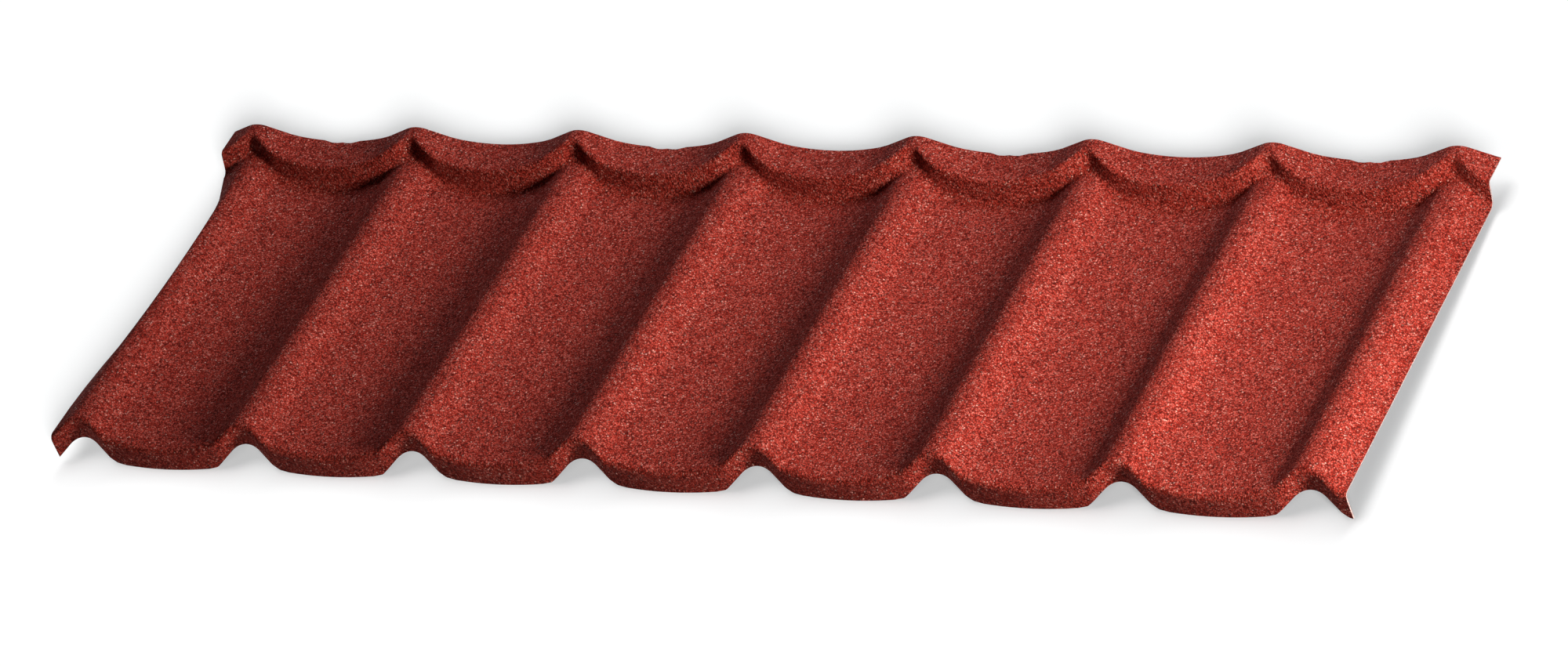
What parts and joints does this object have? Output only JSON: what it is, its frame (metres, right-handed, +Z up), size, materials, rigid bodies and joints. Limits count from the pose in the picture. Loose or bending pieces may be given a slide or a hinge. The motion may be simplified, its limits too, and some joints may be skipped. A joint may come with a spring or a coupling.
{
  "type": "tile effect metal roofing sheet",
  "caption": "Pressed steel roofing sheet shaped like a course of wavy roof tiles, with a turned-down nose, a stepped rear flange and a brick-red stone chip face.",
  "frame": {"origin": "middle of the sheet's box, on the floor that it lies on", "axes": "+X along the row of waves, +Y from the nose to the rear flange, +Z up with the stone chip face uppermost"},
  "size_m": [1.3333, 0.418, 0.0438],
  "materials": {
    "stone_chip_red": "matte, coarse stone chips"
  },
  "bodies": {
    "root": {"tile_sheet": "stone_chip_red"}
  },
  "joints": []
}
